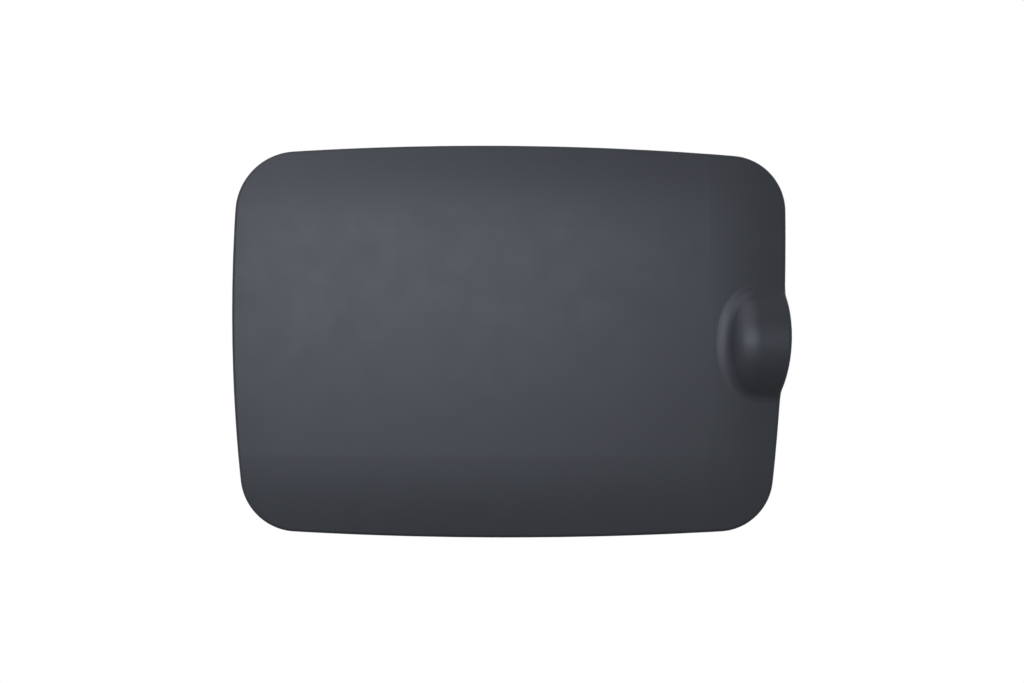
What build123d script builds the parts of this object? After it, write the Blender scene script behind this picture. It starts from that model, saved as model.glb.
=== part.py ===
from build123d import *
from math import asin, atan2, cos, degrees, radians, sin, sqrt
import os

# Car fuel door: a moulded flap with a finger pull, on a side hinge with a spring detent.
# Frame: origin midway between the two mounting holes, on the back of the hinge bracket.
# +X runs from the hinge towards the finger pull, +Y into the car, +Z up. The flap is shut.
# Depths are counted from the crown of the outer face, towards +Y. All sizes in millimetres.

# Flap outline: the four corners before rounding, and how far each side bows out
TOP_WIDTH = 177.4
SIDE_HEIGHT = 121.6
TOP_RIGHT_DROP = 1.7
BOTTOM_INSET_LEFT = 2.2
BOTTOM_INSET_RIGHT = 5.65
BOW_TOP = 3.6
BOW_RIGHT = 2.2
BOW_BOTTOM = 2.65
BOW_LEFT = 3.35
CORNER_TOP_LEFT = 20.0
CORNER_TOP_RIGHT = 18.0
CORNER_BOTTOM_RIGHT = 17.75
CORNER_BOTTOM_LEFT = 18.3

# Flap shell: a shallow crown that rolls off more tightly along all four sides
CROWN_RADIUS = 1100.0
ROLL_RADIUS = 160.0
ROLL_WIDTH = 24.0
SKIN = 2.5
FLANGE_DEPTH = 9.5
EDGE_ROUND = 1.2
BOSS_HEIGHT = 5.5
BOSS_RADIUS = 4.5
RIB_HEIGHT = 4.0
RIB_WIDTH = 1.8
RIB_PITCH = 35.0

# Finger pull: a scoop across the free edge, its closed end rounded over, its crest tipped outwards
PULL_RISE = 7.3
PULL_RADIUS = 23.0
PULL_SETBACK = 10.6
PULL_FOOT_ROUND = 5.5
PULL_LEVEL = -0.4
PULL_TIP = 5.0
LIP_START = 0.3
LIP_BEND = 6.0
LIP_LEAN = 15.0

# Hinge pin, bushes and end washers
HINGE_SETBACK = 16.0
OPEN_ANGLE = 95.0
PIN_RADIUS = 2.5
PIN_HEAD_RADIUS = 4.2
PIN_HEAD_HEIGHT = 1.6
PIN_HEAD_ROUND = 0.7
PIN_TAIL = 2.6
PIN_CHAMFER = 0.6
CLIP_GROOVE_RADIUS = 1.9
CLIP_RADIUS = 5.0
CLIP_BAND = 1.9
CLIP_PRONG = 2.0
CLIP_MOUTH = 3.4
CLIP_SHEET = 0.8
BUSH_WALL = 1.25
BUSH_LENGTH = 10.0
BUSH_FLANGE_RADIUS = 5.2
BUSH_FLANGE = 1.2
WASHER_RADIUS = 4.8
WASHER_SHEET = 0.4
WASHER_CURVE = 0.6

# Hinge arm
BARREL_RADIUS = 5.5
BARREL_PROUD = 0.5
ARM_LENGTH = 56.0
ARM_HALF = 22.0
ARM_PLATE = 3.0
ARM_CORNER = 6.0
ARM_HOLE_NEAR = 20.0
ARM_HOLE_FAR = 48.0
ARM_HOLE_HALF = 14.75
GUSSET_WIDTH = 2.0
GUSSET_INNER = 8.5
GUSSET_LENGTH = 38.0
CAM_RADIUS = 6.4
CAM_FLAT = 4.9
CAM_HALF = 8.0

# Hinge bracket
BRACKET_SHEET = 2.0
BRACKET_BEND = 2.0
BRACKET_REACH = 17.0
BRACKET_END = 34.0
EAR_GAP = 52.0
EAR_RADIUS = 5.5
EAR_ROOT = 6.0
STOP_GAP = 0.4
MOUNT_REACH = 20.0
MOUNT_SPACING = 34.0
MOUNT_HOLE_RADIUS = 3.3

# Leaf spring and its rivets
LEAF_SHEET = 0.8
LEAF_WIDTH = 13.0
LEAF_FOOT_START = 15.0
LEAF_FOOT_END = 31.0
LEAF_PAD_START = 7.5
LEAF_PAD_END = 3.8
LEAF_TIP_RUN = 1.8
LEAF_TIP_RISE = 1.6
LEAF_BEND = 2.5
RIVET_NEAR = 20.0
RIVET_FAR = 27.0
RIVET_RADIUS = 1.6
RIVET_HEAD_RADIUS = 3.0
RIVET_HEAD_HEIGHT = 1.2
RIVET_HEAD_ROUND = 0.6
RIVET_TAIL_RADIUS = 2.5

# Lock striker
STRIKER_SHEET = 2.0
STRIKER_BEND = 2.0
STRIKER_FROM_EDGE = 30.0
STRIKER_FOOT = 22.0
STRIKER_FOOT_HALF = 12.0
STRIKER_FOOT_CORNER = 4.0
STRIKER_HOLE_SETBACK = 14.0
STRIKER_HOLE_HALF = 7.0
EYE_RADIUS = 4.2
EYE_RIM = 4.8
EYE_HEIGHT = 15.0

# Screws into the bosses
SCREW_RADIUS = 2.0
SCREW_HEAD_RADIUS = 4.0
SCREW_HEAD_HEIGHT = 2.4
SCREW_HEAD_ROUND = 1.0
SCREW_BITE = 4.2
DRIVE_WIDTH = 1.0
DRIVE_LENGTH = 4.4
DRIVE_DEPTH = 1.3

# Rubber buffers
BUFFER_FROM_EDGE = 19.0
BUFFER_FROM_END = 16.5
BUFFER_RADIUS = 5.5
BUFFER_HEIGHT = 5.5
BUFFER_ROUND = 2.5
BUFFER_STEM_RADIUS = 2.0
BUFFER_STEM = 2.6

# Clearances
RUN_CLEAR = 0.05
FIT_CLEAR = 0.03
END_PLAY = 0.05
HOLE_CLEAR = 0.25
HOLE_SPARE = 0.3
NOSE_SPARE = 0.2
MARGIN = 20.0
FRONT_FACING = 0.4


def face_sag(reach, start):
    """Depth of the outer face below its crown at a reach beyond the start of the roll."""
    tilt = asin(start / CROWN_RADIUS)
    run = reach - start + ROLL_RADIUS * sin(tilt)
    return CROWN_RADIUS * (1 - cos(tilt)) + ROLL_RADIUS * cos(tilt) - sqrt(ROLL_RADIUS**2 - run**2)


# Places that follow from the sizes
seat_depth = SKIN + BOSS_HEIGHT
pin_depth = seat_depth + BARREL_RADIUS - BARREL_PROUD
pin_x = -MOUNT_REACH
pin_y = -BRACKET_REACH - BRACKET_SHEET
face_y = pin_y - pin_depth
left_edge = -(TOP_WIDTH - BOTTOM_INSET_LEFT) / 2 - BOW_LEFT
right_edge = (TOP_WIDTH - BOTTOM_INSET_RIGHT) / 2 + BOW_RIGHT
door_x = pin_x - HINGE_SETBACK - left_edge
pull_x = right_edge - PULL_SETBACK
pull_sag = face_sag(pull_x, right_edge - ROLL_WIDTH)
pull_sink = PULL_RADIUS - PULL_RISE
pull_nose = PULL_RISE + SKIN + NOSE_SPARE
edge_sag = face_sag(right_edge, right_edge - ROLL_WIDTH)
mouth_half = sqrt((PULL_RADIUS - SKIN) ** 2 - pull_sink**2)
seat_y = face_y + seat_depth
ear_outer = EAR_GAP / 2 + BRACKET_SHEET
bush_radius = PIN_RADIUS + RUN_CLEAR + BUSH_WALL
washer_room = WASHER_SHEET + WASHER_CURVE + 2 * END_PLAY
barrel_bottom = -EAR_GAP / 2 + END_PLAY + BUSH_FLANGE
barrel_top = EAR_GAP / 2 - washer_room - BUSH_FLANGE
open_cos = cos(radians(OPEN_ANGLE))
open_sin = sin(radians(OPEN_ANGLE))
stop_x = pin_x - HINGE_SETBACK * open_cos + (FLANGE_DEPTH - pin_depth) * open_sin + STOP_GAP
striker_x = door_x + right_edge - STRIKER_FROM_EDGE
buffer_x = right_edge - BUFFER_FROM_EDGE
buffer_half = SIDE_HEIGHT / 2 - BUFFER_FROM_END
eye_y = seat_y + EYE_HEIGHT
clip_top = -ear_outer - END_PLAY
leaf_foot_y = -BRACKET_SHEET - LEAF_SHEET / 2
leaf_pad_y = pin_y + CAM_FLAT + RUN_CLEAR + LEAF_SHEET / 2
arm_back = seat_y + ARM_PLATE

# Corners of the outline, across and up from the middle of the flap
top_left = (-TOP_WIDTH / 2, SIDE_HEIGHT / 2)
top_right = (TOP_WIDTH / 2, SIDE_HEIGHT / 2 - TOP_RIGHT_DROP)
bottom_right = (TOP_WIDTH / 2 - BOTTOM_INSET_RIGHT, -SIDE_HEIGHT / 2)
bottom_left = (-TOP_WIDTH / 2 + BOTTOM_INSET_LEFT, -SIDE_HEIGHT / 2)

# Screw places on the flap, across and up from its middle
arm_holes = [
    (pin_x - door_x + reach, side * ARM_HOLE_HALF)
    for reach in (ARM_HOLE_NEAR, ARM_HOLE_FAR)
    for side in (-1, 1)
]
striker_holes = [
    (striker_x - door_x - STRIKER_HOLE_SETBACK, side * STRIKER_HOLE_HALF) for side in (-1, 1)
]
buffer_holes = [(buffer_x, side * buffer_half) for side in (-1, 1)]

# Rib rows run through the bosses, rib columns stop short of the finger pull
rib_rows = [side * half for half in (ARM_HOLE_HALF, buffer_half) for side in (-1, 1)]
rib_columns = [striker_x - door_x - step * RIB_PITCH for step in range(4)]

# Rivet places on the bracket's base
rivet_places = [(pin_x + reach, 0) for reach in (RIVET_NEAR, RIVET_FAR)]
mount_places = [(0, side * MOUNT_SPACING / 2) for side in (-1, 1)]
pin_place = (pin_x, pin_y)

# Working planes: the crown of the outer face, the middle of the finger pull, the seats inside
FACE = Plane(origin=(door_x, face_y, 0), x_dir=(1, 0, 0), z_dir=(0, -1, 0))
PULL = Plane(
    origin=(door_x + pull_x, face_y + pull_sag + pull_sink, PULL_LEVEL),
    x_dir=(cos(radians(PULL_TIP)), sin(radians(PULL_TIP)), 0),
    z_dir=(0, 0, 1),
)
SEAT = FACE.offset(-seat_depth)
INSIDE = Plane(origin=(door_x, seat_y, 0), x_dir=(1, 0, 0), z_dir=(0, 1, 0))
BRACKET_BACK = Plane(origin=(0, 0, 0), x_dir=(1, 0, 0), z_dir=(0, 1, 0))
crown_axis = Axis((door_x, face_y + CROWN_RADIUS, 0), (0, 0, 1))

os.makedirs("parts", exist_ok=True)


def side_circle(start, end, bow):
    """Centre, radius and inward direction of the large circle that one side of the flap lies on."""
    chord = Vector(end) - Vector(start)
    radius = (chord.length**2 / 4 + bow**2) / (2 * bow)
    inward = chord.rotate(Axis.Z, -90).normalized()
    centre = (Vector(start) + Vector(end)) / 2 + inward * (radius - bow)
    return centre, radius, inward


def outline(inset):
    """Outline of the flap, drawn in by inset: where four large circles overlap, corners rounded."""
    with BuildSketch() as sketch:
        Rectangle(2 * TOP_WIDTH, 2 * SIDE_HEIGHT)
        for centre, radius, inward in sides:
            angle = degrees(atan2(inward.Y, inward.X))
            with Locations(Location(centre, (0, 0, angle))):
                Circle(radius - inset, mode=Mode.INTERSECT)
        for corner, radius in corners:
            fillet(sketch.vertices().sort_by_distance(corner)[0], radius - inset)
    return sketch.sketch


def crown_section(inset):
    """Upright section of the face and the block behind it: outwards along X, up along Y."""
    tilt = asin((SIDE_HEIGHT / 2 - ROLL_WIDTH) / CROWN_RADIUS)
    start = (CROWN_RADIUS - inset) * Vector(cos(tilt), sin(tilt)) - Vector(CROWN_RADIUS, 0)
    turn = degrees((ROLL_WIDTH + MARGIN) / ROLL_RADIUS)
    with BuildSketch() as section:
        with BuildLine():
            middle = ThreePointArc((start.X, -start.Y), (-inset, 0), (start.X, start.Y))
            upper = JernArc(middle @ 1, middle % 1, ROLL_RADIUS - inset, turn)
            lower = JernArc(middle @ 0, -(middle % 0), ROLL_RADIUS - inset, -turn)
            back = -FLANGE_DEPTH - MARGIN
            Polyline(upper @ 1, (back, (upper @ 1).Y), (back, (lower @ 1).Y), lower @ 1)
        make_face()
    return section.sketch


def crown_plane(tilt):
    """Upright plane square to the crown where the face leans by tilt, outwards along X."""
    outwards = Vector(sin(tilt), -cos(tilt), 0)
    on_face = crown_axis.position + outwards * CROWN_RADIUS
    return Plane(on_face, x_dir=outwards, z_dir=outwards.cross(crown_axis.direction))


def face_form(inset):
    """Block behind the crowned face and its finger pull, set back by a wall of inset."""
    radius = PULL_RADIUS - inset
    overrun = PULL_SETBACK + 2 * MARGIN
    left_tilt = asin((left_edge + ROLL_WIDTH) / CROWN_RADIUS)
    right_tilt = asin((right_edge - ROLL_WIDTH) / CROWN_RADIUS)
    roll_turn = degrees((ROLL_WIDTH + MARGIN) / ROLL_RADIUS)
    with BuildPart() as form:
        for tilt, side in ((left_tilt, -1), (right_tilt, 1)):
            section = crown_plane(tilt)
            with BuildSketch(section):
                add(crown_section(inset))
            roll_axis = Axis(section.origin - section.x_dir * ROLL_RADIUS, crown_axis.direction * side)
            revolve(axis=roll_axis, revolution_arc=roll_turn)
        with BuildSketch(crown_plane(left_tilt)):
            add(crown_section(inset))
        revolve(axis=crown_axis, revolution_arc=degrees(right_tilt - left_tilt))
        with BuildSketch(PULL):
            with BuildLine():
                nose = CenterArc((0, PULL_RADIUS - pull_nose), pull_nose - inset, 90, 90)
                Polyline(nose @ 1, ((nose @ 1).X, 0), (overrun, 0), (overrun, radius), nose @ 0)
            make_face()
        revolve(axis=Axis(PULL.origin, PULL.x_dir))
        with BuildSketch(FACE.offset(-FLANGE_DEPTH - MARGIN / 2)):
            with Locations((right_edge + MARGIN / 2, 0)):
                Rectangle(TOP_WIDTH + MARGIN, SIDE_HEIGHT + MARGIN, align=(Align.MAX, Align.CENTER))
        extrude(amount=FLANGE_DEPTH + MARGIN, mode=Mode.INTERSECT)
        cut_edges = form.faces().filter_by(GeomType.PLANE).edges()
        fillet(form.edges().filter_by(GeomType.BSPLINE) - cut_edges, PULL_FOOT_ROUND - inset)
    return form.part


sides = [
    side_circle(top_left, top_right, BOW_TOP),
    side_circle(top_right, bottom_right, BOW_RIGHT),
    side_circle(bottom_right, bottom_left, BOW_BOTTOM),
    side_circle(bottom_left, top_left, BOW_LEFT),
]
corners = [
    (top_left, CORNER_TOP_LEFT),
    (top_right, CORNER_TOP_RIGHT),
    (bottom_right, CORNER_BOTTOM_RIGHT),
    (bottom_left, CORNER_BOTTOM_LEFT),
]

# Outer form of the flap: straight sides, with a lip flaring out where the finger pull stands up
lip_centre, lip_radius, lip_inward = sides[1]
lip_plane = FACE.offset(LIP_START - edge_sag)
lip_axis = Axis(lip_plane.from_local_coords(lip_centre), lip_plane.z_dir)
lip_away = lip_plane.from_local_coords(lip_centre + lip_inward) - lip_axis.position
lip_height = PULL_RISE + edge_sag - pull_sag
lip_half = PULL_RADIUS + PULL_FOOT_ROUND
with BuildPart() as pull_lip:
    with BuildSketch(Plane(lip_axis.position, x_dir=lip_away, z_dir=lip_away.cross(lip_plane.z_dir))):
        with BuildLine():
            bend = JernArc((lip_radius, 0), tangent=(0, 1), radius=LIP_BEND, arc_size=-LIP_LEAN)
            lean = PolarLine(bend @ 1, lip_height, angle=90 - LIP_LEAN)
            Polyline(lean @ 1, (0, (lean @ 1).Y), (0, 0), bend @ 0)
        make_face()
    revolve(axis=lip_axis)
    with BuildSketch(lip_plane):
        with Locations((right_edge, PULL_LEVEL)):
            Rectangle(2 * lip_half, 2 * lip_half)
    extrude(amount=lip_height, mode=Mode.INTERSECT)

with BuildPart() as flap_sides:
    with BuildSketch(FACE.offset(-FLANGE_DEPTH)):
        add(outline(0))
    extrude(amount=FLANGE_DEPTH + lip_height)
    add(pull_lip.part)

with BuildPart() as flap_form:
    add(face_form(0))
    add(flap_sides.part, mode=Mode.INTERSECT)
    front = flap_form.faces().filter_by(lambda face: face.normal_at().Y < -FRONT_FACING)
    around = flap_form.faces().filter_by(lambda face: abs(face.normal_at().Y) < FRONT_FACING)
    fillet(front.edges() & around.edges(), EDGE_ROUND)

# Hollow behind the skin, with the mouth of the finger pull through the free edge
with BuildPart() as flap_hollow:
    with BuildSketch(FACE.offset(-FLANGE_DEPTH)):
        add(outline(SKIN))
        with Locations((right_edge, PULL_LEVEL)):
            Rectangle(2 * PULL_RADIUS, 2 * mouth_half)
    extrude(amount=FLANGE_DEPTH + lip_height)
    add(face_form(SKIN), mode=Mode.INTERSECT)

# Ribs and screw bosses, rooted halfway into the skin and the edge
with BuildPart() as flap_core:
    with BuildSketch(FACE.offset(-FLANGE_DEPTH)):
        add(outline(SKIN / 2))
    extrude(amount=FLANGE_DEPTH + lip_height)
    add(face_form(SKIN / 2), mode=Mode.INTERSECT)

with BuildPart() as flap_ribs:
    with BuildSketch(FACE.offset(-SKIN - RIB_HEIGHT)):
        for row in rib_rows:
            with Locations((buffer_x, row)):
                Rectangle(TOP_WIDTH, RIB_WIDTH, align=(Align.MAX, Align.CENTER))
        for column in rib_columns:
            with Locations((column, 0)):
                Rectangle(RIB_WIDTH, SIDE_HEIGHT + MARGIN)
    extrude(amount=SKIN + RIB_HEIGHT)
    with BuildSketch(SEAT):
        with Locations(*arm_holes, *striker_holes, *buffer_holes):
            Circle(BOSS_RADIUS)
    extrude(amount=seat_depth)
    add(flap_core.part, mode=Mode.INTERSECT)

with BuildPart() as door_panel:
    add(flap_form.part)
    add(flap_hollow.part, mode=Mode.SUBTRACT)
    add(flap_ribs.part)
    with BuildSketch(SEAT):
        with Locations(*arm_holes, *striker_holes):
            Circle(SCREW_RADIUS + FIT_CLEAR)
    extrude(amount=SCREW_BITE + HOLE_SPARE, mode=Mode.SUBTRACT)
    with BuildSketch(SEAT):
        with Locations(*buffer_holes):
            Circle(BUFFER_STEM_RADIUS + FIT_CLEAR)
    extrude(amount=BUFFER_STEM + HOLE_SPARE, mode=Mode.SUBTRACT)

door_panel.part.label = "door_panel"
export_step(door_panel.part, "parts/door_panel.step")

# Hinge arm: plate on the bosses, barrel around the pin, gussets, and the cam with a flat for each end
with BuildPart() as hinge_arm:
    with BuildSketch(INSIDE) as plate:
        with Locations((pin_x - door_x, 0)):
            Rectangle(ARM_LENGTH, 2 * ARM_HALF, align=(Align.MIN, Align.CENTER))
        fillet(plate.vertices().group_by(Axis.X)[-1], ARM_CORNER)
    extrude(amount=ARM_PLATE)
    for inner in (-ARM_HALF, -GUSSET_INNER - GUSSET_WIDTH, GUSSET_INNER, ARM_HALF - GUSSET_WIDTH):
        with BuildSketch(Plane.XY.offset(inner)):
            with BuildLine():
                Polyline(
                    pin_place,
                    (pin_x + GUSSET_LENGTH, arm_back),
                    (pin_x, pin_y + CAM_FLAT),
                    close=True,
                )
            make_face()
        extrude(amount=GUSSET_WIDTH)
    with BuildSketch(Plane.XY.offset(barrel_bottom)):
        with Locations(pin_place):
            Circle(BARREL_RADIUS)
    extrude(amount=barrel_top - barrel_bottom)
    with BuildSketch(Plane.XY.offset(-CAM_HALF)):
        with Locations(pin_place):
            Circle(CAM_RADIUS)
    extrude(amount=2 * CAM_HALF)
    with BuildSketch(Plane.XY.offset(-CAM_HALF)):
        for turn in (0, OPEN_ANGLE):
            with Locations(Location(pin_place, (0, 0, turn))):
                with Locations((0, CAM_FLAT)):
                    Rectangle(2 * CAM_RADIUS, CAM_RADIUS, align=(Align.CENTER, Align.MIN))
    extrude(amount=2 * CAM_HALF, mode=Mode.SUBTRACT)
    with BuildSketch(Plane.XY.offset(barrel_bottom)):
        with Locations(pin_place):
            Circle(PIN_RADIUS + HOLE_CLEAR)
    extrude(amount=barrel_top - barrel_bottom, mode=Mode.SUBTRACT)
    for end, inwards in ((barrel_bottom, BUSH_LENGTH), (barrel_top, -BUSH_LENGTH)):
        with BuildSketch(Plane.XY.offset(end)):
            with Locations(pin_place):
                Circle(bush_radius + FIT_CLEAR)
        extrude(amount=inwards, mode=Mode.SUBTRACT)
    with BuildSketch(INSIDE):
        with Locations(*arm_holes):
            Circle(SCREW_RADIUS + HOLE_CLEAR)
    extrude(amount=ARM_PLATE, mode=Mode.SUBTRACT)

hinge_arm.part.label = "hinge_arm"
export_step(hinge_arm.part, "parts/hinge_arm.step")


def bush(end, outwards):
    """Flanged bush at one end of the barrel, its flange on the side that outwards points to."""
    with BuildPart() as body:
        with BuildSketch(Plane(origin=(pin_x, pin_y, end), z_dir=(0, 0, outwards))):
            Circle(BUSH_FLANGE_RADIUS)
        extrude(amount=BUSH_FLANGE)
        with BuildSketch(Plane(origin=(pin_x, pin_y, end), z_dir=(0, 0, -outwards))):
            Circle(bush_radius)
        extrude(amount=BUSH_LENGTH)
        with BuildSketch(Plane(origin=(pin_x, pin_y, end))):
            Circle(PIN_RADIUS + RUN_CLEAR)
        extrude(amount=BUSH_LENGTH + BUSH_FLANGE, both=True, mode=Mode.SUBTRACT)
    return body.part


with BuildPart() as bush_upper:
    add(bush(barrel_top, 1))

bush_upper.part.label = "bush_upper"
export_step(bush_upper.part, "parts/bush_upper.step")

with BuildPart() as bush_lower:
    add(bush(barrel_bottom, -1))

bush_lower.part.label = "bush_lower"
export_step(bush_lower.part, "parts/bush_lower.step")

# Spring washer between the upper bush and the upper ear, a ring bent into a shallow arc
washer_low = barrel_top + BUSH_FLANGE + END_PLAY
with BuildPart() as wave_washer:
    with BuildSketch(Plane(origin=(pin_x, pin_y, washer_low), x_dir=(1, 0, 0), z_dir=(0, -1, 0))):
        with BuildLine():
            under = ThreePointArc((-WASHER_RADIUS, 0), (0, WASHER_CURVE), (WASHER_RADIUS, 0))
            over = ThreePointArc(
                (WASHER_RADIUS, WASHER_SHEET),
                (0, WASHER_CURVE + WASHER_SHEET),
                (-WASHER_RADIUS, WASHER_SHEET),
            )
            Line(under @ 1, over @ 0)
            Line(over @ 1, under @ 0)
        make_face()
    extrude(amount=WASHER_RADIUS, both=True)
    with BuildSketch(Plane.XY.offset(washer_low)):
        with Locations(pin_place):
            Circle(WASHER_RADIUS)
            Circle(PIN_RADIUS + HOLE_CLEAR, mode=Mode.SUBTRACT)
    extrude(amount=washer_room, mode=Mode.INTERSECT)

wave_washer.part.label = "wave_washer"
export_step(wave_washer.part, "parts/wave_washer.step")


def rivet():
    """Rivet through the leaf and the bracket's base: head in front, tail flush with the back."""
    grip = BRACKET_SHEET + LEAF_SHEET
    with BuildPart() as body:
        with BuildSketch(Plane.XY.offset(-grip)):
            Circle(RIVET_HEAD_RADIUS)
        extrude(amount=-RIVET_HEAD_HEIGHT)
        fillet(body.edges().group_by(Axis.Z)[0], RIVET_HEAD_ROUND)
        with BuildSketch(Plane.XY):
            Circle(RIVET_RADIUS)
        extrude(amount=-grip)
        Cone(
            RIVET_RADIUS,
            RIVET_TAIL_RADIUS,
            RIVET_TAIL_RADIUS - RIVET_RADIUS,
            align=(Align.CENTER, Align.CENTER, Align.MAX),
        )
    return body.part


with BuildPart() as spring_rivets:
    with Locations(BRACKET_BACK):
        with Locations(*rivet_places):
            add(rivet())

spring_rivets.part.label = "spring_rivets"
export_step(spring_rivets.part, "parts/spring_rivets.step")

# Leaf spring: foot on the bracket's base, pad on the cam's flat, tip turned up
with BuildPart() as leaf_spring:
    with BuildSketch(Plane.XY.offset(-LEAF_WIDTH / 2)):
        with BuildLine():
            FilletPolyline(
                (pin_x + LEAF_FOOT_END, leaf_foot_y),
                (pin_x + LEAF_FOOT_START, leaf_foot_y),
                (pin_x + LEAF_PAD_START, leaf_pad_y),
                (pin_x - LEAF_PAD_END, leaf_pad_y),
                (pin_x - LEAF_PAD_END - LEAF_TIP_RUN, leaf_pad_y + LEAF_TIP_RISE),
                radius=LEAF_BEND,
            )
        trace(line_width=LEAF_SHEET)
    extrude(amount=LEAF_WIDTH)
    with BuildSketch(BRACKET_BACK.offset(-BRACKET_SHEET)):
        with Locations(*rivet_places):
            Circle(RIVET_RADIUS)
    extrude(amount=-LEAF_SHEET, mode=Mode.SUBTRACT)

leaf_spring.part.label = "leaf_spring"
export_step(leaf_spring.part, "parts/leaf_spring.step")

# Hinge bracket: one folded sheet, the base with an ear bent up at each end of the pin
with BuildPart() as hinge_bracket:
    with BuildSketch(Plane.YZ) as fold:
        Rectangle(2 * MARGIN, 2 * ear_outer, align=(Align.MAX, Align.CENTER))
        fillet(fold.vertices().group_by(Axis.X)[-1], BRACKET_BEND + BRACKET_SHEET)
        with Locations((-BRACKET_SHEET, 0)):
            Rectangle(2 * MARGIN, EAR_GAP, align=(Align.MAX, Align.CENTER), mode=Mode.SUBTRACT)
        for side in (-1, 1):
            bend = fold.vertices().sort_by_distance((-BRACKET_SHEET, side * EAR_GAP / 2))[0]
            fillet(bend, BRACKET_BEND)
    extrude(amount=BRACKET_END + MARGIN, both=True)
    with BuildSketch():
        with BuildLine():
            CenterArc(pin_place, EAR_RADIUS, 0, 360)
            Polyline(
                (stop_x, 0),
                (stop_x, -BRACKET_SHEET - EAR_ROOT),
                (pin_x + BRACKET_END, -BRACKET_SHEET - EAR_ROOT),
                (pin_x + BRACKET_END, 0),
                close=True,
            )
        make_hull()
        with Locations((stop_x, 0)):
            Rectangle(
                MARGIN, BRACKET_SHEET + EAR_ROOT, align=(Align.MAX, Align.MAX), mode=Mode.SUBTRACT
            )
    extrude(amount=ear_outer, both=True, mode=Mode.INTERSECT)
    with BuildSketch():
        with Locations(pin_place):
            Circle(PIN_RADIUS + FIT_CLEAR)
    extrude(amount=ear_outer, both=True, mode=Mode.SUBTRACT)
    with BuildSketch(BRACKET_BACK):
        with Locations(*mount_places):
            Circle(MOUNT_HOLE_RADIUS)
    extrude(amount=-BRACKET_SHEET, mode=Mode.SUBTRACT)
    add(spring_rivets.part, mode=Mode.SUBTRACT)

hinge_bracket.part.label = "hinge_bracket"
export_step(hinge_bracket.part, "parts/hinge_bracket.step")

# Hinge pin: head on the upper ear, groove for the clip below the lower ear
with BuildPart() as hinge_pin:
    with BuildSketch(Plane.XY.offset(-ear_outer - PIN_TAIL)):
        with Locations(pin_place):
            Circle(PIN_RADIUS)
    extrude(amount=2 * ear_outer + PIN_TAIL)
    chamfer(hinge_pin.edges().group_by(Axis.Z)[0], PIN_CHAMFER)
    with BuildSketch(Plane.XY.offset(ear_outer)):
        with Locations(pin_place):
            Circle(PIN_HEAD_RADIUS)
    extrude(amount=PIN_HEAD_HEIGHT)
    fillet(hinge_pin.edges().group_by(Axis.Z)[-1], PIN_HEAD_ROUND)
    with BuildSketch(Plane.XY.offset(clip_top + END_PLAY)):
        with Locations(pin_place):
            Circle(PIN_RADIUS)
            Circle(CLIP_GROOVE_RADIUS, mode=Mode.SUBTRACT)
    extrude(amount=-CLIP_SHEET - 2 * END_PLAY, mode=Mode.SUBTRACT)

hinge_pin.part.label = "hinge_pin"
export_step(hinge_pin.part, "parts/hinge_pin.step")

# Retaining clip: open ring with three prongs in the pin's groove
with BuildPart() as pin_clip:
    with BuildSketch(Plane.XY.offset(clip_top)):
        with Locations(pin_place):
            Circle(CLIP_RADIUS)
            Circle(CLIP_RADIUS - CLIP_BAND, mode=Mode.SUBTRACT)
            with PolarLocations(0, 3):
                Rectangle(CLIP_RADIUS - CLIP_BAND / 2, CLIP_PRONG, align=(Align.MIN, Align.CENTER))
            Circle(CLIP_GROOVE_RADIUS + FIT_CLEAR, mode=Mode.SUBTRACT)
            with PolarLocations(CLIP_RADIUS, 1, start_angle=180):
                Rectangle(CLIP_RADIUS, CLIP_MOUTH, mode=Mode.SUBTRACT)
    extrude(amount=-CLIP_SHEET)

pin_clip.part.label = "pin_clip"
export_step(pin_clip.part, "parts/pin_clip.step")

# Lock striker: folded foot and tab, the eye for the lock bolt in the tab's round end
with BuildPart() as lock_striker:
    with BuildSketch() as fold:
        with BuildLine():
            Polyline(
                (striker_x - STRIKER_FOOT, seat_y),
                (striker_x, seat_y),
                (striker_x, eye_y + EYE_RADIUS + EYE_RIM),
                (striker_x - STRIKER_SHEET, eye_y + EYE_RADIUS + EYE_RIM),
                (striker_x - STRIKER_SHEET, seat_y + STRIKER_SHEET),
                (striker_x - STRIKER_FOOT, seat_y + STRIKER_SHEET),
                close=True,
            )
        make_face()
        outer_bend = fold.vertices().sort_by_distance((striker_x, seat_y))[0]
        fillet(outer_bend, STRIKER_BEND + STRIKER_SHEET)
        inner_corner = (striker_x - STRIKER_SHEET, seat_y + STRIKER_SHEET)
        fillet(fold.vertices().sort_by_distance(inner_corner)[0], STRIKER_BEND)
    extrude(amount=STRIKER_FOOT_HALF, both=True)
    with BuildSketch(Plane.YZ.offset(striker_x)):
        with BuildLine():
            CenterArc((eye_y, 0), EYE_RADIUS + EYE_RIM, 0, 360)
            Polyline(
                (seat_y, -STRIKER_FOOT_HALF),
                (seat_y + STRIKER_SHEET, -STRIKER_FOOT_HALF),
                (seat_y + STRIKER_SHEET, STRIKER_FOOT_HALF),
                (seat_y, STRIKER_FOOT_HALF),
                close=True,
            )
        make_hull()
    extrude(amount=-STRIKER_FOOT, mode=Mode.INTERSECT)
    foot_end = lock_striker.edges().filter_by(Axis.Y).group_by(Axis.X)[0]
    fillet(foot_end, STRIKER_FOOT_CORNER)
    with BuildSketch(Plane.YZ.offset(striker_x)):
        with Locations((eye_y, 0)):
            Circle(EYE_RADIUS)
    extrude(amount=-STRIKER_SHEET, mode=Mode.SUBTRACT)
    with BuildSketch(INSIDE):
        with Locations(*striker_holes):
            Circle(SCREW_RADIUS + HOLE_CLEAR)
    extrude(amount=STRIKER_SHEET, mode=Mode.SUBTRACT)

lock_striker.part.label = "lock_striker"
export_step(lock_striker.part, "parts/lock_striker.step")


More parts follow.
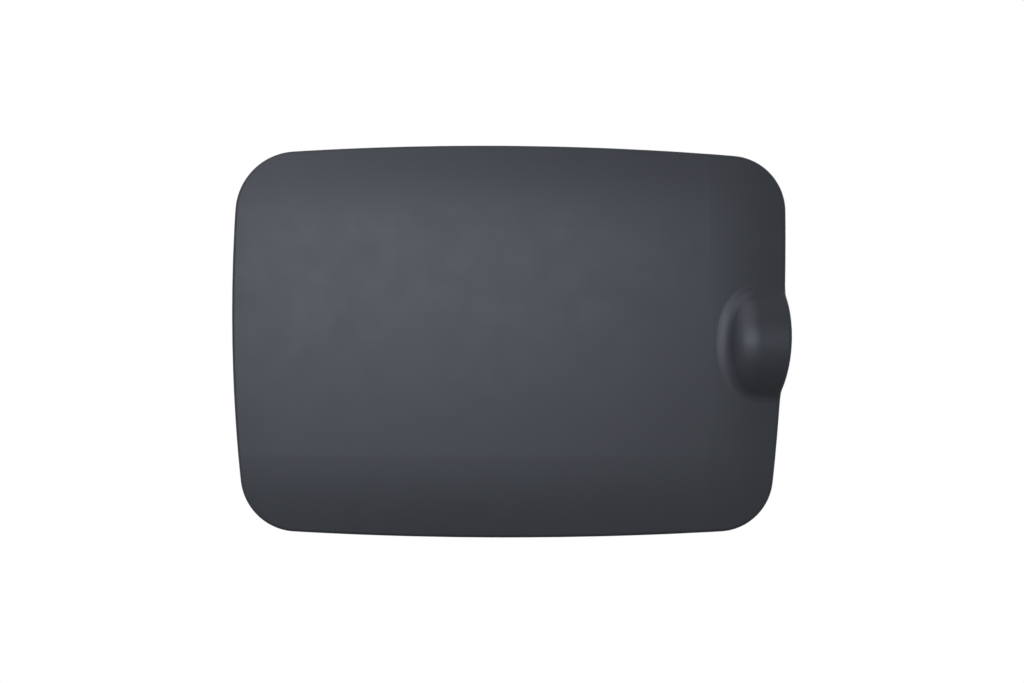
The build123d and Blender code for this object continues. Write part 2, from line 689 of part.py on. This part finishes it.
def screw(grip):
    """Pan-head screw, the underside of its head on the XY plane, for a plate as thick as grip."""
    with BuildPart() as body:
        with BuildSketch():
            Circle(SCREW_HEAD_RADIUS)
        extrude(amount=SCREW_HEAD_HEIGHT)
        fillet(body.edges().group_by(Axis.Z)[-1], SCREW_HEAD_ROUND)
        with BuildSketch():
            Circle(SCREW_RADIUS)
        extrude(amount=-grip - SCREW_BITE)
        with BuildSketch(Plane.XY.offset(SCREW_HEAD_HEIGHT)):
            Rectangle(DRIVE_LENGTH, DRIVE_WIDTH)
            Rectangle(DRIVE_WIDTH, DRIVE_LENGTH)
        extrude(amount=-DRIVE_DEPTH, mode=Mode.SUBTRACT)
    return body.part


with BuildPart() as arm_screws:
    with Locations(INSIDE.offset(ARM_PLATE)):
        with Locations(*arm_holes):
            add(screw(ARM_PLATE))

arm_screws.part.label = "arm_screws"
export_step(arm_screws.part, "parts/arm_screws.step")

with BuildPart() as striker_screws:
    with Locations(INSIDE.offset(STRIKER_SHEET)):
        with Locations(*striker_holes):
            add(screw(STRIKER_SHEET))

striker_screws.part.label = "striker_screws"
export_step(striker_screws.part, "parts/striker_screws.step")


def buffer(place):
    """Rubber buffer with its stem pressed into a boss."""
    with BuildPart() as body:
        with BuildSketch(INSIDE):
            with Locations(place):
                Circle(BUFFER_RADIUS)
        extrude(amount=BUFFER_HEIGHT)
        fillet(body.edges().group_by(Axis.Y)[-1], BUFFER_ROUND)
        with BuildSketch(INSIDE):
            with Locations(place):
                Circle(BUFFER_STEM_RADIUS)
        extrude(amount=-BUFFER_STEM)
    return body.part


with BuildPart() as buffer_upper:
    add(buffer(buffer_holes[0]))

buffer_upper.part.label = "buffer_upper"
export_step(buffer_upper.part, "parts/buffer_upper.step")

with BuildPart() as buffer_lower:
    add(buffer(buffer_holes[1]))

buffer_lower.part.label = "buffer_lower"
export_step(buffer_lower.part, "parts/buffer_lower.step")
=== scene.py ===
import math

import bpy
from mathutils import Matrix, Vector


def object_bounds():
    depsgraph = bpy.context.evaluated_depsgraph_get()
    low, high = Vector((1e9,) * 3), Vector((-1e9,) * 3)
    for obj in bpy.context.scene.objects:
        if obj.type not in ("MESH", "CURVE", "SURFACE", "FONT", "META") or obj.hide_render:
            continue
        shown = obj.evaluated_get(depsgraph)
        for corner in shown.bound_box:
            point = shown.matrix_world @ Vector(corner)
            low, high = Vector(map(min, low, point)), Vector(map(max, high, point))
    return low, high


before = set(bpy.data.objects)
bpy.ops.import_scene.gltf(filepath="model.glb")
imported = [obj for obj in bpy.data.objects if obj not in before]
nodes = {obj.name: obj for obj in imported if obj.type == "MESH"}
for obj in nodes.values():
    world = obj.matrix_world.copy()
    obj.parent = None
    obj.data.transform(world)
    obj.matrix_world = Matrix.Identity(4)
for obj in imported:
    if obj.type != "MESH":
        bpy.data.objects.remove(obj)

cad_low, cad_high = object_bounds()
scene = bpy.context.scene
MM = 0.001

# Colours of the pieces, in linear light
FLAP_GREY = (0.0145, 0.0163, 0.0200)
FLAP_SHEEN = (0.83, 0.885, 1.0)
ARM_BLACK = (0.022, 0.022, 0.024)
ACETAL_CREAM = (0.74, 0.72, 0.65)
ZINC_GREY = (0.60, 0.61, 0.62)
SCREW_GREY = (0.56, 0.55, 0.50)
PIN_GREY = (0.50, 0.50, 0.51)
SPRING_GREY = (0.20, 0.21, 0.25)
RUBBER_BLACK = (0.016, 0.016, 0.017)
WHITE = (1, 1, 1)

# Noise in the materials: the span of its middle values, and how fine it is
NOISE_LOW = 0.3
NOISE_MIDDLE = 0.5
NOISE_HIGH = 0.7
NOISE_ROUGHNESS = 0.55
PATCH_DETAIL = 3.0
GRAIN_DETAIL = 2.0
EVEN = (1, 1, 1)
TURNED = (0.2, 0.2, 6)

# Floor, well below the flap, fading out to the white around it
FLOOR_X = 0.05
FLOOR_DROP = 0.7
FLOOR_RADIUS = 1.25
FLOOR_FADE = 0.5
FLOOR_SIDES = 96
FLOOR_PALE = (0.75, 0.75, 0.75)
FLOOR_ROUGHNESS = 0.9

# World: its strength as a light, and as the background that shows
WORLD_LIGHT = 0.03
WORLD_SHOWN = 1.0

LAMP_DISTANCE = 1.1

# Camera, square on to the flap as in the photo
CAMERA_X = 0.05491
CAMERA_Z = 0.0001
CAMERA_DISTANCE = 0.6
RIM_PLANE = -0.0257
FRAME_WIDTH = 0.3328
SENSOR_WIDTH = 36


# Material helpers
def new_material(name):
    """A material with an empty node tree: returns it, its tree and its shader."""
    material = bpy.data.materials.new(name)
    material.use_nodes = True
    tree = material.node_tree
    tree.nodes.clear()
    output = tree.nodes.new("ShaderNodeOutputMaterial")
    shader = tree.nodes.new("ShaderNodeBsdfPrincipled")
    tree.links.new(shader.outputs["BSDF"], output.inputs["Surface"])
    return material, tree, shader


def object_coordinates(tree, stretch):
    """Coordinates in metres on the object, times stretch along each axis."""
    coordinates = tree.nodes.new("ShaderNodeTexCoord")
    mapping = tree.nodes.new("ShaderNodeMapping")
    mapping.inputs["Scale"].default_value = stretch
    tree.links.new(coordinates.outputs["Object"], mapping.inputs["Vector"])
    return mapping.outputs["Vector"]


def noise(tree, vector, size, detail):
    """Noise with features about as large as size, in metres."""
    texture = tree.nodes.new("ShaderNodeTexNoise")
    texture.inputs["Scale"].default_value = 1 / size
    texture.inputs["Detail"].default_value = detail
    texture.inputs["Roughness"].default_value = NOISE_ROUGHNESS
    tree.links.new(vector, texture.inputs["Vector"])
    return texture.outputs["Fac"]


def ramp(tree, value, stops):
    """Colour ramp through stops of place and colour."""
    node = tree.nodes.new("ShaderNodeValToRGB")
    elements = node.color_ramp.elements
    while len(elements) < len(stops):
        elements.new(NOISE_MIDDLE)
    for element, (place, colour) in zip(elements, stops):
        element.position = place
        element.color = (*colour, 1)
    tree.links.new(value, node.inputs["Fac"])
    return node.outputs["Color"]


def spread(tree, value, low, high):
    """Map the middle of a noise onto the range from low to high."""
    node = tree.nodes.new("ShaderNodeMapRange")
    node.inputs["From Min"].default_value = NOISE_LOW
    node.inputs["From Max"].default_value = NOISE_HIGH
    node.inputs["To Min"].default_value = low
    node.inputs["To Max"].default_value = high
    tree.links.new(value, node.inputs["Value"])
    return node.outputs["Result"]


def bump(tree, shader, height, distance):
    """Raise the surface by height, distance metres deep."""
    node = tree.nodes.new("ShaderNodeBump")
    node.inputs["Strength"].default_value = 1.0
    node.inputs["Distance"].default_value = distance
    tree.links.new(height, node.inputs["Height"])
    tree.links.new(node.outputs["Normal"], shader.inputs["Normal"])


def shade(colour, factor):
    """A colour made lighter or darker."""
    return tuple(channel * factor for channel in colour)


def mottled(name, colour, patch, contrast, roughness, grain, grain_depth, metallic=0.0, specular=0.5,
            tint=WHITE, stretch=EVEN):
    """A surface with soft patches of tone, uneven roughness and a fine grain."""
    material, tree, shader = new_material(name)
    vector = object_coordinates(tree, stretch)
    patches = noise(tree, vector, patch, PATCH_DETAIL)
    grains = noise(tree, vector, grain, GRAIN_DETAIL)
    tones = [
        (NOISE_LOW, shade(colour, 1 - contrast)),
        (NOISE_MIDDLE, colour),
        (NOISE_HIGH, shade(colour, 1 + contrast)),
    ]
    tree.links.new(ramp(tree, patches, tones), shader.inputs["Base Color"])
    tree.links.new(spread(tree, patches, *roughness), shader.inputs["Roughness"])
    bump(tree, shader, grains, grain_depth)
    shader.inputs["Metallic"].default_value = metallic
    shader.inputs["Specular IOR Level"].default_value = specular
    shader.inputs["Specular Tint"].default_value = (*tint, 1)
    return material


def finish_nodes(material, names):
    """Give CAD nodes a material."""
    for name in names:
        mesh = nodes[name].data
        mesh.materials.clear()
        mesh.materials.append(material)


# Materials of the pieces
flap = mottled(
    "flap_satin", FLAP_GREY, patch=9 * MM, contrast=0.02, roughness=(0.40, 0.44),
    grain=0.35 * MM, grain_depth=0.002 * MM, specular=0.285, tint=FLAP_SHEEN,
)
arm = mottled(
    "arm_plastic", ARM_BLACK, patch=3 * MM, contrast=0.18, roughness=(0.5, 0.62),
    grain=0.3 * MM, grain_depth=0.012 * MM,
)
bush = mottled(
    "bush_acetal", ACETAL_CREAM, patch=4 * MM, contrast=0.03, roughness=(0.35, 0.45),
    grain=0.4 * MM, grain_depth=0.004 * MM,
)
zinc = mottled(
    "zinc_sheet", ZINC_GREY, patch=3.5 * MM, contrast=0.10, roughness=(0.26, 0.40),
    grain=0.25 * MM, grain_depth=0.005 * MM, metallic=1.0,
)
screw = mottled(
    "zinc_screw", SCREW_GREY, patch=1.5 * MM, contrast=0.12, roughness=(0.24, 0.38),
    grain=0.2 * MM, grain_depth=0.005 * MM, metallic=1.0,
)
pin = mottled(
    "pin_steel", PIN_GREY, patch=2 * MM, contrast=0.08, roughness=(0.18, 0.30),
    grain=0.15 * MM, grain_depth=0.003 * MM, metallic=1.0, stretch=TURNED,
)
spring = mottled(
    "spring_steel", SPRING_GREY, patch=3 * MM, contrast=0.15, roughness=(0.25, 0.38),
    grain=0.2 * MM, grain_depth=0.003 * MM, metallic=1.0,
)
rubber = mottled(
    "buffer_rubber", RUBBER_BLACK, patch=2 * MM, contrast=0.2, roughness=(0.68, 0.82),
    grain=0.25 * MM, grain_depth=0.01 * MM, specular=0.3,
)

finish_nodes(flap, ["door_panel"])
finish_nodes(arm, ["hinge_arm"])
finish_nodes(bush, ["bush_upper", "bush_lower"])
finish_nodes(zinc, ["hinge_bracket", "lock_striker"])
finish_nodes(screw, ["arm_screws", "striker_screws"])
finish_nodes(pin, ["hinge_pin", "spring_rivets"])
finish_nodes(spring, ["leaf_spring", "pin_clip", "wave_washer"])
finish_nodes(rubber, ["buffer_upper", "buffer_lower"])

# Floor
bpy.ops.mesh.primitive_circle_add(vertices=FLOOR_SIDES, radius=FLOOR_RADIUS, fill_type="NGON")
floor = bpy.context.object
floor.name = "floor"
floor.location = (FLOOR_X, 0, -FLOOR_DROP)
floor_material, tree, shader = new_material("floor_pale")
shader.inputs["Base Color"].default_value = (*FLOOR_PALE, 1)
shader.inputs["Roughness"].default_value = FLOOR_ROUGHNESS
clear = tree.nodes.new("ShaderNodeBsdfTransparent")
rim = tree.nodes.new("ShaderNodeTexGradient")
rim.gradient_type = "SPHERICAL"
fade = tree.nodes.new("ShaderNodeMapRange")
fade.inputs["From Max"].default_value = FLOOR_FADE
mix = tree.nodes.new("ShaderNodeMixShader")
tree.links.new(object_coordinates(tree, (1 / FLOOR_RADIUS,) * 3), rim.inputs["Vector"])
tree.links.new(rim.outputs["Fac"], fade.inputs["Value"])
tree.links.new(fade.outputs["Result"], mix.inputs["Fac"])
tree.links.new(clear.outputs["BSDF"], mix.inputs[1])
tree.links.new(shader.outputs["BSDF"], mix.inputs[2])
tree.links.new(mix.outputs["Shader"], tree.nodes["Material Output"].inputs["Surface"])
floor.data.materials.append(floor_material)

# World: plain white to the camera and in reflections, softer as a light
world = bpy.data.worlds.new("studio")
scene.world = world
world.use_nodes = True
tree = world.node_tree
tree.nodes.clear()
output = tree.nodes.new("ShaderNodeOutputWorld")
background = tree.nodes.new("ShaderNodeBackground")
background.inputs["Color"].default_value = (*WHITE, 1)
paths = tree.nodes.new("ShaderNodeLightPath")
seen = tree.nodes.new("ShaderNodeMath")
seen.operation = "MAXIMUM"
seen_more = tree.nodes.new("ShaderNodeMath")
seen_more.operation = "MAXIMUM"
strength = tree.nodes.new("ShaderNodeMapRange")
strength.inputs["To Min"].default_value = WORLD_LIGHT
strength.inputs["To Max"].default_value = WORLD_SHOWN
tree.links.new(paths.outputs["Is Camera Ray"], seen.inputs[0])
tree.links.new(paths.outputs["Is Glossy Ray"], seen.inputs[1])
tree.links.new(seen.outputs["Value"], seen_more.inputs[0])
tree.links.new(paths.outputs["Is Transmission Ray"], seen_more.inputs[1])
tree.links.new(seen_more.outputs["Value"], strength.inputs["Value"])
tree.links.new(strength.outputs["Result"], background.inputs["Strength"])
tree.links.new(background.outputs["Background"], output.inputs["Surface"])


# Lamps, placed by their bearing from the middle of the part
def lamp(name, azimuth, elevation, width, height, power):
    """Soft lamp aimed at the middle of the part. Azimuth 0 is in front of the flap, 90 beyond its pull."""
    data = bpy.data.lights.new(name, "AREA")
    data.shape = "RECTANGLE"
    data.size = width
    data.size_y = height
    data.energy = power
    obj = bpy.data.objects.new(name, data)
    scene.collection.objects.link(obj)
    turn = math.radians(azimuth)
    rise = math.radians(elevation)
    away = Vector((math.sin(turn) * math.cos(rise), -math.cos(turn) * math.cos(rise), math.sin(rise)))
    obj.location = (cad_low + cad_high) / 2 + away * LAMP_DISTANCE
    obj.rotation_euler = (-away).to_track_quat("-Z", "Y").to_euler()
    obj.visible_camera = False


lamp("front", azimuth=-15, elevation=6.5, width=1.13, height=0.3, power=10.3)
lamp("high_left", azimuth=-35, elevation=48, width=1.1, height=1.1, power=7.0)
lamp("behind", azimuth=165, elevation=15, width=1.2, height=1.2, power=7.0)

# Camera
camera_data = bpy.data.cameras.new("camera")
camera_data.sensor_width = SENSOR_WIDTH
camera_data.lens = SENSOR_WIDTH * CAMERA_DISTANCE / FRAME_WIDTH
camera = bpy.data.objects.new("camera", camera_data)
scene.collection.objects.link(camera)
camera.location = (CAMERA_X, RIM_PLANE - CAMERA_DISTANCE, CAMERA_Z)
camera.rotation_euler = (math.radians(90), 0, 0)
scene.camera = camera

scene.view_settings.view_transform = "Standard"
